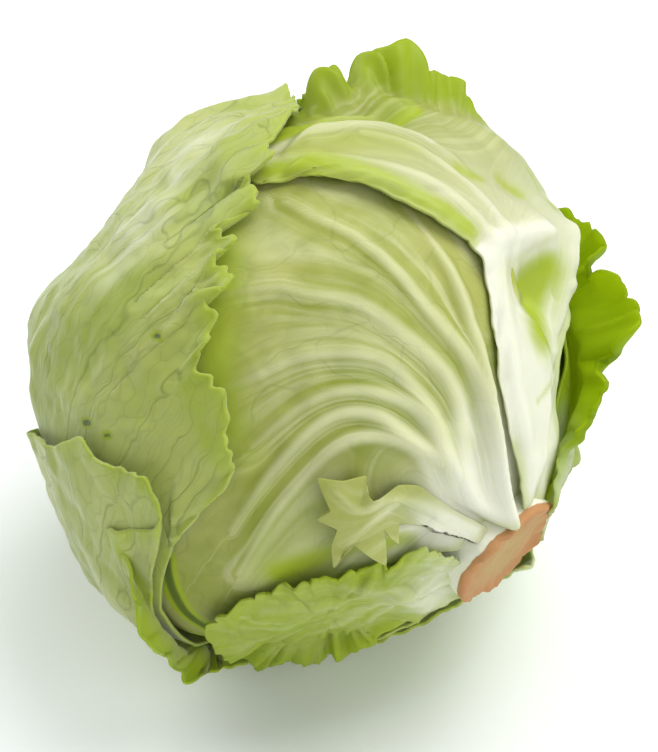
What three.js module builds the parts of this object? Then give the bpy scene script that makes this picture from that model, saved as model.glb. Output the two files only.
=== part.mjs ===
// A head of crisp lettuce lying on its side: a cut stem, a tight heart and ten wrapper leaves.
//
// The head has its own polar frame. Its pole is the stem: a place on the head is a pair of degrees,
// [down from the stem, round the stem], with 0 round at the top and 90 on the side away from +X.
// Every leaf is a thin blade that lies on the leaves under it, and follows their edges as steps.
import * as THREE from 'three';

// Driving dimensions, in millimetres and degrees.
const HEART_RADIUS = 66.5;
const REST_HEIGHT = 72; // the head's centre above the surface it rests on
const STEM_TILT = 12.6; // how far the stem points below the horizontal
const STEM_RADIUS = 15.5;
const STEM_CUT = 73; // from the head's centre to the cut face
const CUT_SLOPE = 0.12; // rise of the slanted cut towards the side round 36 degrees
const STEM_ROOT = 44; // from the head's centre to the stem's inner end
const BLADE = 1; // thickness of a leaf
const LAYER_STEP = 2.6; // from one leaf's middle to the next one's
const SPREAD_RADIUS = 75; // the ball that an outline's degrees are laid out on
const COVER_EDGE = 8; // a leaf lifts what lies over it at full height this far past its own edge
const COVER_FADE = 13; // and lets it down again over this length
const WAVE_LENGTH = 24; // of a leaf edge's ruffles
const EDGE_WAVE = 1.2; // how high the ruffles of a plain edge stand
const LIFT_FROM = 0.8; // a frilled edge starts to rise at this share of the way out
const RIM_SAMPLES = 240;
const FOOT_DEPTH = 0.15; // how far the flat spot's three feet stand below it
const FOOT_WIDTH = 5;

// The head's own frame, with the stem along +Z and the top along +X.
const STEM_AXIS = new THREE.Vector3(0, 0, 1);
const TURN_Y_TO_Z = new THREE.Matrix4().set(0, 0, 1, 0, 1, 0, 0, 0, 0, 1, 0, 0, 0, 0, 0, 1);

// Swells and hollows of the whole head: [down, round, height, width in degrees].
const HEAD_SWELLS = [
  [0, 0, 2, 20],
  [25, 190, -4, 16],
  [32, 270, -4, 18],
  [60, 296, -6, 22],
  [86, 313, 4, 15],
  [74, 120, 7, 28],
  [131, 84, 7, 18],
  [150, 38, -4, 22],
  [141, 8, 5, 16],
];

// The leaves, from the innermost outwards. An outline starts at the leaf's base on the stem and goes
// round by the side of lower degrees, the crown and the other side. Ribs are ridges along a path.
// Bumps are [down, round, height, width]. Frills are [down, round, lift, wave, width], at the edge.
const LEAVES = [
  {
    name: 'ribbed_leaf',
    colour: '#c3cd7c',
    segments: 20,
    centre: [66, 45],
    outline: [
      [14, 20], [16, 6], [28, -8], [45, -20], [68, -25], [88, -20], [104, -4], [114, 22],
      [118, 55], [114, 88], [96, 112], [76, 122], [60, 118], [44, 100], [30, 72], [17, 38],
    ],
    ribs: [
      { height: 3.2, width: 4.6, path: [[16, 12], [28, 5], [38, 3], [50, 3], [61, 4], [71, 7], [80, 11], [90, 16]] },
      { height: 2.6, width: 4.4, path: [[22, 24], [34, 22], [46, 21], [58, 18], [67, 18], [75, 20], [83, 25]] },
      { height: 2.2, width: 4.2, path: [[46, 21], [58, 23], [66, 28], [74, 36], [79, 46], [80, 58]] },
      { height: 2.2, width: 4.2, path: [[42, 24], [51, 25], [60, 30], [64, 39], [66, 53], [64, 64]] },
      { height: 2.2, width: 4.2, path: [[40, 30], [48, 35], [55, 45], [56, 58], [58, 76], [60, 90]] },
    ],
  },
  {
    name: 'inner_back_leaf',
    colour: '#b9c878',
    segments: 14,
    centre: [100, 250],
    outline: [
      [14, 255], [18, 235], [40, 205], [70, 186], [105, 176], [140, 160], [160, 95], [150, 5],
      [125, 338], [95, 330], [65, 322], [38, 300], [17, 275],
    ],
  },
  {
    name: 'crown_leaf',
    colour: '#aebf5c',
    segments: 16,
    centre: [92, 282],
    outline: [
      [15, 302], [20, 285], [40, 260], [65, 243], [92, 236], [118, 240], [136, 264], [141, 300],
      [132, 330], [116, 342], [102, 330], [90, 318], [76, 314], [62, 311], [44, 309], [25, 311],
    ],
    frills: [[76, 314, 1.5, 2.5, 30]],
  },
  {
    name: 'top_leaf',
    colour: '#cdd79a',
    segments: 20,
    centre: [74, -22],
    outline: [
      [14, -14], [17, -22], [30, -26], [46, -34], [58, -42], [68, -50], [80, -51], [92, -48],
      [103, -42], [112, -31], [118, -17], [119, -3], [115, 9], [107, 15], [99, 14], [92, 9],
      [84, 3], [75, -4], [67, -8], [61, -7], [52, -3], [42, -1], [31, 0], [20, -5],
    ],
    ribs: [
      { height: 2.4, width: 4.5, path: [[16, -12], [30, -8], [45, -9], [57, -14], [64, -22]] },
      { height: 2.4, width: 3.6, path: [[19, -18], [30, -23], [46, -31], [58, -38], [66, -43]] },
      { height: 2.6, width: 4.0, path: [[63, -12], [66, -24], [66, -38]] },
      { height: 4.6, width: 3.2, path: [[106, 6], [102, -8], [99, -22], [98, -32], [99, -40]] },
      { height: 1.8, width: 3.0, path: [[66, -18], [78, -12], [90, -2], [98, 6]] },
    ],
    bumps: [[86, -4, 3.0, 13], [66, -39, 2.5, 5], [88, -32, 1.5, 12]],
    frills: [[117, -13, 9, 4, 11], [110, -36, 11, 5, 10]],
  },
  {
    name: 'right_leaf',
    colour: '#a4bf3a',
    segments: 16,
    centre: [70, 255],
    outline: [
      [14, 255], [20, 230], [40, 205], [65, 192], [90, 195], [112, 215], [122, 245], [112, 275],
      [98, 296], [84, 308], [72, 312], [62, 316], [54, 318], [46, 314], [36, 310], [27, 308], [18, 290],
    ],
    ribs: [{ height: 2.2, width: 5, path: [[16, 257], [35, 256], [60, 255], [90, 254]] }],
    frills: [[48, 316, 3.5, 5, 26], [76, 311, 2.5, 3, 16]],
  },
  {
    name: 'bottom_leaf',
    colour: '#a9bd55',
    segments: 16,
    centre: [38, 106],
    outline: [
      [14, 104], [15, 84], [22, 62], [30, 58], [40, 65], [46, 73], [53, 80], [60, 90], [63, 101],
      [60, 112], [56, 121], [51, 128], [48, 135], [47, 142], [41, 144], [35, 142], [28, 134], [21, 126], [16, 118],
    ],
    ribs: [{ height: 2, width: 4, path: [[15, 108], [25, 102], [36, 98], [50, 98]] }],
    frills: [[44, 140, 2.5, 3, 20]],
  },
  {
    name: 'torn_leaf',
    colour: '#bccb78',
    segments: 16,
    centre: [34, 47],
    tension: 0,
    outline: [
      [15, 42], [17, 33], [24, 32], [31, 35], [38, 39], [43, 41], [46, 44], [51, 53], [47, 54], [48, 60],
      [43, 61], [41, 72], [38, 61], [32, 68], [33, 57], [29, 59], [28, 52], [23, 54], [17, 50],
    ],
    ribs: [
      { height: 1.4, width: 3, path: [[16, 42], [26, 40], [36, 43], [44, 50]] },
      { height: 1.2, width: 2.4, path: [[26, 42], [32, 50], [36, 60]] },
    ],
    frills: [[44, 56, 3.0, 1.5, 14]],
  },
  {
    name: 'cap_leaf',
    colour: '#a6bb62',
    segments: 22,
    centre: [112, 86],
    outline: [
      [14, 158], [20, 146], [32, 130], [46, 112], [58, 98], [65, 84], [66, 73], [64, 66], [65, 61],
      [69, 57], [70, 53], [75, 50], [81, 50], [82, 44], [85, 40], [91, 39], [86, 36], [88, 33],
      [93, 33], [92, 28], [98, 28], [95, 20], [101, 17], [100, 12], [104, 10], [107, 3], [114, -7],
      [126, -18], [140, -35], [152, -60], [157, -115], [148, -165], [130, 178], [105, 168],
      [78, 164], [50, 164], [28, 167], [16, 168],
    ],
    ribs: [{ height: 1.4, width: 4, path: [[16, 160], [45, 140], [75, 120], [105, 95]] }],
    bumps: [[104, 36, -1.0, 14]],
    frills: [[84, 42, 1.0, 2.0, 40]],
  },
  {
    name: 'lower_left_leaf',
    colour: '#a9bd5e',
    segments: 20,
    centre: [70, 136],
    outline: [
      [14, 192], [22, 175], [38, 155], [50, 142], [60, 131], [65, 122], [69, 113], [67, 102], [68, 95],
      [72, 92], [78, 90], [74, 84], [70, 79], [72, 75], [77, 72], [81, 75], [86, 77], [93, 76],
      [101, 80], [111, 90], [119, 106], [122, 128], [116, 152], [102, 172], [80, 188], [52, 196], [28, 202],
    ],
    ribs: [{ height: 1.6, width: 4, path: [[16, 192], [40, 172], [62, 152], [84, 128]] }],
    frills: [[66, 108, 2.5, 2.0, 18], [74, 76, 1.0, 1.0, 12]],
  },
  {
    name: 'under_leaf',
    colour: '#a2b65a',
    segments: 18,
    centre: [68, 196],
    outline: [
      [14, 225], [20, 205], [34, 180], [48, 162], [64, 152], [82, 150], [100, 156], [115, 172],
      [120, 196], [112, 222], [94, 238], [72, 245], [46, 248], [24, 246],
    ],
    ribs: [{ height: 1.6, width: 4, path: [[16, 226], [30, 216], [44, 207]] }],
  },
];

const radians = THREE.MathUtils.degToRad;
const smooth = (value, low, high) => THREE.MathUtils.smoothstep(value, low, high);

// The unit vector to a place on the head.
function towards([down, round]) {
  return new THREE.Vector3().setFromSphericalCoords(1, radians(down), radians(round)).applyMatrix4(TURN_Y_TO_Z);
}

const UNDERSIDE = towards([90 - STEM_TILT, 180]);

// The flat spot stands a hair deeper at three places, [down, round], so that the head rests firmly.
const FEET = [[62, 180], [85, 166], [85, 194]];

// A bell of height 1 round a place, by the angle from it.
function bell(direction, place, width) {
  return Math.exp(-((direction.angleTo(towards(place)) / radians(width)) ** 2));
}

function headRadius(direction) {
  const swell = HEAD_SWELLS.reduce(
    (sum, [down, round, height, width]) => sum + height * bell(direction, [down, round], width), 0);
  return HEART_RADIUS + swell;
}

// The distance from a direction to a path over the head, in millimetres.
function distanceToPath(direction, path) {
  const point = direction.clone().multiplyScalar(SPREAD_RADIUS);
  const nearest = new THREE.Vector3();
  const stretch = new THREE.Line3();
  let least = Infinity;
  for (let i = 1; i < path.length; i++) {
    stretch.start.copy(path[i - 1]);
    stretch.end.copy(path[i]);
    stretch.closestPointToPoint(point, true, nearest);
    least = Math.min(least, nearest.distanceTo(point));
  }
  return least;
}

// A leaf's outline, laid out flat round its centre: x is away from the stem and y is round it.
class Leaf {
  constructor(form) {
    Object.assign(this, { ribs: [], bumps: [], frills: [], tension: 0.5 }, form);
    this.middle = towards(this.centre);
    this.sideways = new THREE.Vector3().crossVectors(STEM_AXIS, this.middle).normalize();
    this.crownwards = new THREE.Vector3().crossVectors(this.sideways, this.middle);
    this.ribs = this.ribs.map((rib) => ({
      ...rib,
      path: rib.path.map((place) => towards(place).multiplyScalar(SPREAD_RADIUS)),
    }));
    const corners = this.outline.map((place) => this.layFlat(towards(place)));
    this.edge = new THREE.CatmullRomCurve3(corners, true, 'catmullrom', this.tension);
    this.edge.arcLengthDivisions = 4 * RIM_SAMPLES;
    this.edgeLength = this.edge.getLength();
    this.rim = this.edge.getSpacedPoints(RIM_SAMPLES).slice(0, RIM_SAMPLES);
    this.reaches = this.rim.map((p) => [Math.atan2(p.y, p.x), Math.hypot(p.x, p.y)])
      .sort((a, b) => a[0] - b[0]);
  }

  layFlat(direction) {
    const x = direction.dot(this.crownwards);
    const y = direction.dot(this.sideways);
    const reach = direction.angleTo(this.middle) * SPREAD_RADIUS;
    const share = reach / Math.max(Math.hypot(x, y), 1e-9);
    return new THREE.Vector3(x * share, y * share, 0);
  }

  wrapRound(flat) {
    const reach = Math.hypot(flat.x, flat.y);
    const angle = reach / SPREAD_RADIUS;
    const share = Math.sin(angle) / Math.max(reach, 1e-9);
    return this.middle.clone().multiplyScalar(Math.cos(angle))
      .addScaledVector(this.crownwards, flat.x * share)
      .addScaledVector(this.sideways, flat.y * share);
  }

  // The outline's point at a share of the way round it, counted from the base.
  edgePoint(share) {
    const at = share * RIM_SAMPLES;
    const first = Math.floor(at) % RIM_SAMPLES;
    return this.rim[first].clone().lerp(this.rim[(first + 1) % RIM_SAMPLES], at - Math.floor(at));
  }

  reachTowards(bearing) {
    const after = this.reaches.findIndex(([b]) => b > bearing);
    const [b1, r1] = this.reaches.at(after > 0 ? after : 0);
    const [b0, r0] = this.reaches.at(after > 0 ? after - 1 : -1);
    const span = THREE.MathUtils.euclideanModulo(b1 - b0, 2 * Math.PI);
    const part = THREE.MathUtils.euclideanModulo(bearing - b0, 2 * Math.PI);
    return THREE.MathUtils.lerp(r0, r1, span > 1e-9 ? Math.min(part / span, 1) : 0);
  }

  // 1 where the leaf lies, falling to 0 a little way past its edge.
  cover(direction) {
    const flat = this.layFlat(direction);
    const past = Math.hypot(flat.x, flat.y) - this.reachTowards(Math.atan2(flat.y, flat.x));
    return 1 - smooth(past, COVER_EDGE, COVER_EDGE + COVER_FADE);
  }
}

const leaves = LEAVES.map((form) => new Leaf(form));
const layersOf = (some, direction) => some.reduce((sum, leaf) => sum + leaf.cover(direction), 0);

// How far a leaf's middle surface stands above the leaves it lies on. Outwards runs from 0 at the
// leaf's centre to 1 at its edge, and the share is of the way round that edge.
function reliefOf(leaf, direction, outwards, share) {
  const bumps = leaf.bumps.reduce(
    (sum, [down, round, height, width]) => sum + height * bell(direction, [down, round], width), 0);
  const ribs = leaf.ribs.reduce(
    (sum, rib) => sum + rib.height * Math.exp(-((distanceToPath(direction, rib.path) / rib.width) ** 2)), 0);
  const turns = Math.round(leaf.edgeLength / WAVE_LENGTH);
  const wave = (0.5 + 0.5 * Math.sin(2 * Math.PI * turns * share)) * outwards ** 4;
  const lifted = smooth(outwards, LIFT_FROM, 1);
  const frills = leaf.frills.reduce(
    (sum, [down, round, lift, waves, width]) =>
      sum + (lift * lifted + waves * wave) * bell(direction, [down, round], width), 0);
  return bumps + ribs + EDGE_WAVE * wave + frills;
}

// Keeps a point above the surface the head rests on, with room for the layers outside it.
function restOnSurface(point, layersOutside) {
  const direction = point.clone().normalize();
  const footing = FEET.reduce((sum, foot) => sum + FOOT_DEPTH * bell(direction, foot, FOOT_WIDTH), 0);
  const lowest = REST_HEIGHT - BLADE / 2 - LAYER_STEP * layersOutside + footing;
  const depth = point.dot(UNDERSIDE);
  if (depth > lowest) point.addScaledVector(UNDERSIDE, lowest - depth);
  return point;
}

// The disc point for a point of the square, ring by ring, as a radius and a share of the way round.
function discOf(x, y) {
  if (x === 0 && y === 0) return [0, 0];
  const wide = Math.abs(x) > Math.abs(y);
  const radius = wide ? x : y;
  const angle = wide ? (Math.PI / 4) * (y / x) : Math.PI / 2 - (Math.PI / 4) * (x / y);
  const turned = angle + (radius < 0 ? Math.PI : 0) - Math.PI;
  return [Math.abs(radius), THREE.MathUtils.euclideanModulo(turned / (2 * Math.PI), 1)];
}

// The triangles of a square grid, each cell split towards its nearest corner of the square.
function sheetTriangles(segments) {
  const triangles = [];
  const width = segments + 1;
  for (let row = 0; row < segments; row++) {
    for (let column = 0; column < segments; column++) {
      const a = row * width + column;
      const [b, c, d] = [a + width, a + width + 1, a + 1];
      const falling = row < segments / 2 === column < segments / 2;
      triangles.push(...(falling ? [a, b, c, a, c, d] : [a, b, d, b, c, d]));
    }
  }
  return triangles;
}

// The grid's border points in order, the way its triangles go round.
function sheetBorder(segments) {
  const width = segments + 1;
  const steps = [...Array(segments).keys()];
  return [
    ...steps.map((i) => i * width),
    ...steps.map((i) => segments * width + i),
    ...steps.map((i) => (segments - i) * width + segments),
    ...steps.map((i) => segments - i),
  ];
}

// A closed blade: the middle sheet is pushed out by half its thickness on both faces.
function leafGeometry(leaf, order) {
  const sheet = new THREE.PlaneGeometry(2, 2, leaf.segments, leaf.segments);
  sheet.setIndex(sheetTriangles(leaf.segments));
  const spots = sheet.getAttribute('position');
  const [inside, outside] = [leaves.slice(0, order), leaves.slice(order + 1)];
  for (let i = 0; i < spots.count; i++) {
    const [outwards, share] = discOf(spots.getX(i), spots.getY(i));
    const direction = leaf.wrapRound(leaf.edgePoint(share).multiplyScalar(outwards));
    const layersOutside = layersOf(outside, direction);
    const open = 1 - Math.min(1, layersOutside);
    const radius = headRadius(direction) + LAYER_STEP * (1 + layersOf(inside, direction))
      + open * reliefOf(leaf, direction, outwards, share);
    const point = restOnSurface(direction.multiplyScalar(radius), layersOutside);
    spots.setXYZ(i, point.x, point.y, point.z);
  }
  sheet.computeVertexNormals();
  const normals = sheet.getAttribute('normal');
  const points = [];
  for (const side of [1, -1]) {
    for (let i = 0; i < spots.count; i++) {
      points.push(...['X', 'Y', 'Z'].map((k) => spots[`get${k}`](i) + (side * BLADE * normals[`get${k}`](i)) / 2));
    }
  }
  const face = [...sheet.index.array];
  const back = face.map((_, i) => face[i - (i % 3) + 2 - (i % 3)] + spots.count);
  const border = sheetBorder(leaf.segments);
  const rim = border.flatMap((a, i) => {
    const b = border[(i + 1) % border.length];
    return [b, a, a + spots.count, b, a + spots.count, b + spots.count];
  });
  const blade = new THREE.BufferGeometry();
  blade.setAttribute('position', new THREE.Float32BufferAttribute(points, 3));
  blade.setIndex([...face, ...back, ...rim]);
  blade.computeVertexNormals();
  return blade;
}

// Moves every point of a geometry, whose axis is first turned from +Y to the stem's +Z.
function reshape(geometry, move) {
  geometry.applyMatrix4(TURN_Y_TO_Z);
  const spots = geometry.getAttribute('position');
  const point = new THREE.Vector3();
  for (let i = 0; i < spots.count; i++) {
    point.fromBufferAttribute(spots, i);
    move(point);
    spots.setXYZ(i, point.x, point.y, point.z);
  }
  geometry.computeVertexNormals();
  return geometry;
}

// The heart: a tight ball with the folded edges of its leaves as ridges, and a hole for the stem.
function heartGeometry() {
  const [socketRadius, socketDepth, rounds, ridges, ridgeDepth] = [STEM_RADIUS + 2, STEM_ROOT - 2, 30, 6, 1.4];
  const mouth = Math.asin(socketRadius / HEART_RADIUS);
  const rings = 16;
  const profile = [];
  for (let i = 0; i <= rings; i++) {
    const angle = Math.PI + (mouth - Math.PI) * (i / rings);
    profile.push(new THREE.Vector2(HEART_RADIUS * Math.sin(angle), HEART_RADIUS * Math.cos(angle)));
  }
  profile[0].x = 0;
  profile.push(new THREE.Vector2(socketRadius, socketDepth), new THREE.Vector2(0, socketDepth));
  return reshape(new THREE.LatheGeometry(profile, rounds), (point) => {
    if (point.length() < HEART_RADIUS - 1) return;
    const direction = point.clone().normalize();
    const round = Math.atan2(point.y, point.x);
    const down = Math.acos(direction.z);
    const ridge = Math.abs(Math.sin((ridges / 2) * (round + down))) * Math.sin(down) ** 2;
    const swell = (headRadius(direction) - HEART_RADIUS) * smooth(down, mouth, 2 * mouth);
    point.setLength(HEART_RADIUS + swell - ridgeDepth * ridge);
    restOnSurface(point, layersOf(leaves, direction));
  });
}

// The stem: a short uneven stump whose cut face is a little hollow, with a ragged rim.
function stemGeometry() {
  const neck = STEM_RADIUS - 1.2;
  const profile = [
    [0, STEM_ROOT], [neck, STEM_ROOT], [neck, STEM_CUT - 12], [STEM_RADIUS - 0.4, STEM_CUT - 4],
    [STEM_RADIUS, STEM_CUT - 1.2], [STEM_RADIUS - 1, STEM_CUT], [STEM_RADIUS - 4, STEM_CUT - 1],
    [STEM_RADIUS / 2, STEM_CUT - 0.6], [0, STEM_CUT - 1],
  ].map(([x, y]) => new THREE.Vector2(x, y));
  return reshape(new THREE.LatheGeometry(profile, 26), (point) => {
    const round = Math.atan2(point.y, point.x);
    const uneven = 1 - 0.03 * (1 + Math.sin(3 * round + 1)) - 0.015 * (1 + Math.sin(7 * round));
    point.x *= uneven;
    point.y *= uneven;
    const rim = smooth(point.z, STEM_CUT - 3, STEM_CUT);
    const slope = CUT_SLOPE * Math.hypot(point.x, point.y) * Math.cos(round - radians(36));
    const nicks = rim * 0.9 * (0.5 + 0.5 * Math.sin(5 * round + 2));
    point.z += smooth(point.z, STEM_CUT - 14, STEM_CUT - 4) * slope - nicks;
  });
}

function piece(name, geometry, colour, roughness) {
  const material = new THREE.MeshStandardMaterial({ color: colour, roughness, metalness: 0 });
  const mesh = new THREE.Mesh(geometry, material);
  mesh.name = name;
  return mesh;
}

// The head stands with its centre over the origin and its stem towards -Y, a little downwards.
const head = new THREE.Group();
const stemwards = new THREE.Vector3(0, -Math.cos(radians(STEM_TILT)), -Math.sin(radians(STEM_TILT)));
const topwards = new THREE.Vector3(0, -Math.sin(radians(STEM_TILT)), Math.cos(radians(STEM_TILT)));
const across = new THREE.Vector3().crossVectors(stemwards, topwards);
head.quaternion.setFromRotationMatrix(new THREE.Matrix4().makeBasis(topwards, across, stemwards));
head.position.set(0, 0, REST_HEIGHT);
head.add(piece('stem', stemGeometry(), '#c8935f', 0.75));
head.add(piece('heart', heartGeometry(), '#d3da9c', 0.5));
leaves.forEach((leaf, order) => head.add(piece(leaf.name, leafGeometry(leaf, order), leaf.colour, 0.5)));

const lettuce = new THREE.Group();
lettuce.add(head);

export default lettuce;
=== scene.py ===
"""A head of crisp lettuce on its side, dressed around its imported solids."""
import math

import bmesh
import bpy
import numpy as np
from bpy.props import FloatProperty, FloatVectorProperty, IntProperty, PointerProperty
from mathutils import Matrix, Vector, noise


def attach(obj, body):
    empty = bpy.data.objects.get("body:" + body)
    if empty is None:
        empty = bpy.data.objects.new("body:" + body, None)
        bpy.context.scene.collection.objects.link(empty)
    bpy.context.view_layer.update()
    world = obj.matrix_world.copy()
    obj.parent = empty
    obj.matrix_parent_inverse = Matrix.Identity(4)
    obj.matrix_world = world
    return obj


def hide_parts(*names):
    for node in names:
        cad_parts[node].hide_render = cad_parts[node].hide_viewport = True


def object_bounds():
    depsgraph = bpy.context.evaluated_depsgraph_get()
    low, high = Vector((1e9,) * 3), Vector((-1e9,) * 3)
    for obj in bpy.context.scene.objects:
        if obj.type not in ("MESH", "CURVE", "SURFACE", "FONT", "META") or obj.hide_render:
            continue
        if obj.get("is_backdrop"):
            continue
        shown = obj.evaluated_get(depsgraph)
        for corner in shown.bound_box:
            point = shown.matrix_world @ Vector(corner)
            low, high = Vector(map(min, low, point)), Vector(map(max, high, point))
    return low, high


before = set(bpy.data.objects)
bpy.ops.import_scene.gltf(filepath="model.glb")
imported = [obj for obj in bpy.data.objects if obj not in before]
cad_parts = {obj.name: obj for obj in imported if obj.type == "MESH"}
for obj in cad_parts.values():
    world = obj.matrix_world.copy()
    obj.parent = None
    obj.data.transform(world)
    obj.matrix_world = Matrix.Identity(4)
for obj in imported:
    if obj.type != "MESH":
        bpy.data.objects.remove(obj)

bl_info = {
    "name": "Crisp Head Lettuce",
    "version": (1, 0, 0),
    "blender": (4, 5, 0),
    "location": "View3D > Sidebar > Lettuce",
    "description": "Builds a head of lettuce leaf by leaf, with its cut stem and a plain stage",
    "category": "Add Mesh",
}

MM = 0.001
IMAGE_SIZE = (658, 752)
CAD_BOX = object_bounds()

# The head, in millimetres and degrees. Its pole is the stem: a place on it is (down from the stem,
# round the stem), with 0 round at the top and 90 on the side away from +X.
HEART_RADIUS = 66.5
REST_HEIGHT = 72.0
STEM_TILT = 12.6

# Swells and hollows of the whole head: (down, round, height, width in degrees).
HEAD_SWELLS = (
    (0, 0, 2, 20), (25, 190, -4, 16), (32, 270, -4, 18), (60, 296, -6, 22), (86, 313, 4, 15),
    (74, 120, 7, 28), (131, 84, 7, 18), (150, 38, -4, 22), (141, 8, 5, 16),
)

# The heart: the folded leaf edges that show as ridges on it, its crinkles, the way its veins run, and
# the hollow round the stem, with the degrees from the stem between which its side rises.
HEART_SEGMENTS = (160, 110)
RIDGE_PAIRS = 3
RIDGE_DEPTH = 1.4
HEART_PUCKER = 0.6
HEART_PUCKER_SIZE = 14
HEART_GRAIN = 30
HEART_INLAND = 50
ROOT_HOLLOW = 14
ROOT_SIDE = (6, 13)

# The stem. Its profile is (share of the radius, height over the cut) from the middle outwards. The cut
# leans over, its rim is uneven, and its finish ends and its waves and lean fade at depths below it.
STEM_RADIUS = 17.2
STEM_CUT = 74.5
STEM_PROFILE = (
    (0.05, -1.6), (0.25, -1.2), (0.5, -0.9), (0.7, -1.1), (0.82, -0.7), (0.9, -0.1), (0.96, 0.15),
    (1.0, -0.4), (1.0, -1.4), (0.985, -3.0), (0.97, -5.5), (0.96, -9.0), (0.95, -16), (0.94, -30),
)
LONG_EDGE = 2.4
CUT_SLOPE = 0.12
CUT_LEAN = 36
RAG_SIZE = 5.0
SHRED_HEIGHTS = (0.5, 3.0)
RIM_WAVE = 0.8
CUT_END = (1.3, 2.2)
WAVE_END = (1, 4)
LEAN_END = (4, 14)

# How leaves lie on each other. A leaf is laid out flat at the spread radius, each layer stands a step
# over the one below, and past its edge it lifts the leaves over it a little, fading out.
SPREAD_RADIUS = 75.0
LAYER_STEP = 2.6
COVER_EDGE = 2.5
COVER_FADE = 8.0
MM_PER_DEGREE = 1.3

# The ribs narrow, pale less and flatten towards their ends. The grain of the leaf counts on from one
# rib to the next, this far apart.
RIB_BASE_WIDTH = 1.15
RIB_NARROWING = 0.55
RIB_FADING = 0.5
RIB_FLATTENING = 0.45
RIB_APART = 12

# The crinkles between ribs: (size, strength) of the big and the small ones.
PUCKERS = ((16, 1.0), (7, 0.5))

# The edges. Ruffles are (length, strength) of the big, middle and small waves, which reach in by a
# share of their length. Flutes are the narrow folds of a frill, and lobes its rounded ends.
RUFFLES = ((26, 1.0), (11, 0.5), (5, 0.22))
RUFFLE_REACH = 0.55
FLUTE_LENGTH = 8.0
FLUTE_STRENGTH = 0.8
LOBE_LENGTH = 11
LOBE_DEPTH = 0.14
LIFT_REACH = 10
SOFT_REACH = 12.0

# Points on each span of a curve before they are set a like distance apart.
STEPS_A_SPAN = 24

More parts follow.
